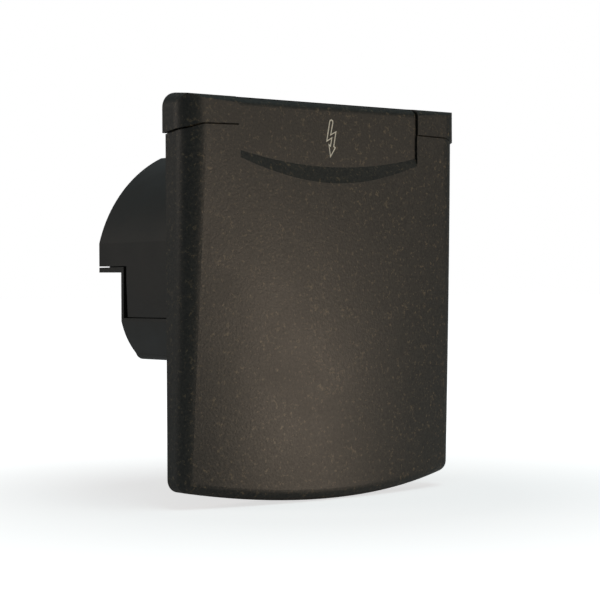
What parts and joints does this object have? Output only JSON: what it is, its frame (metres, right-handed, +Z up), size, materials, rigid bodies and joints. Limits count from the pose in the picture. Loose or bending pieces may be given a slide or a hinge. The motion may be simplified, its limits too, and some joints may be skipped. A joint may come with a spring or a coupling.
{
  "type": "power inlet",
  "caption": "Wall-mounted mains power inlet with a hinged, sprung cover flap, a three-pin plug insert in a round well, and a rear terminal housing.",
  "frame": {"origin": "middle of the four wall screw holes, in the wall plane", "axes": "+Z up, -Y out of the wall towards the user, +Y into the wall, +X to the right as seen from the front"},
  "size_m": [0.1222, 0.0801, 0.1388],
  "materials": {
    "frame_plastic": "matt",
    "flap_plastic": "matt",
    "housing_plastic": "satin",
    "insert_plastic": "satin",
    "steel": "satin",
    "brass": "satin",
    "rubber": "matt",
    "foam": "matt"
  },
  "bodies": {
    "inlet": {"base_frame": "frame_plastic", "hinge_pin": "steel", "hinge_spring": "steel", "wall_gasket": "foam", "housing_gasket": "rubber", "rear_housing": "housing_plastic", "terminal_cover": "housing_plastic", "plug_insert": "insert_plastic", "insert_seal": "rubber", "line_pin": "brass", "neutral_pin": "brass", "earth_pin": "brass", "terminal_screws": "steel", "insert_screws": "steel", "housing_screws": "steel", "cover_screws": "steel", "cable_grommet": "rubber", "cable_clamp": "housing_plastic", "clamp_screws": "steel"},
    "flap": {"cover_flap": "flap_plastic", "flap_seal": "rubber"}
  },
  "joints": [
    {"name": "flap_hinge", "type": "hinge", "parent": "inlet", "child": "flap", "pos_m": [0, -0.01, 0.0651], "axis": [-1, 0, 0], "range_deg": [0, 100], "stiffness_Nm_per_rad": 0.03, "springref_deg": -68.75, "deforming": ["hinge_spring"]}
  ]
}
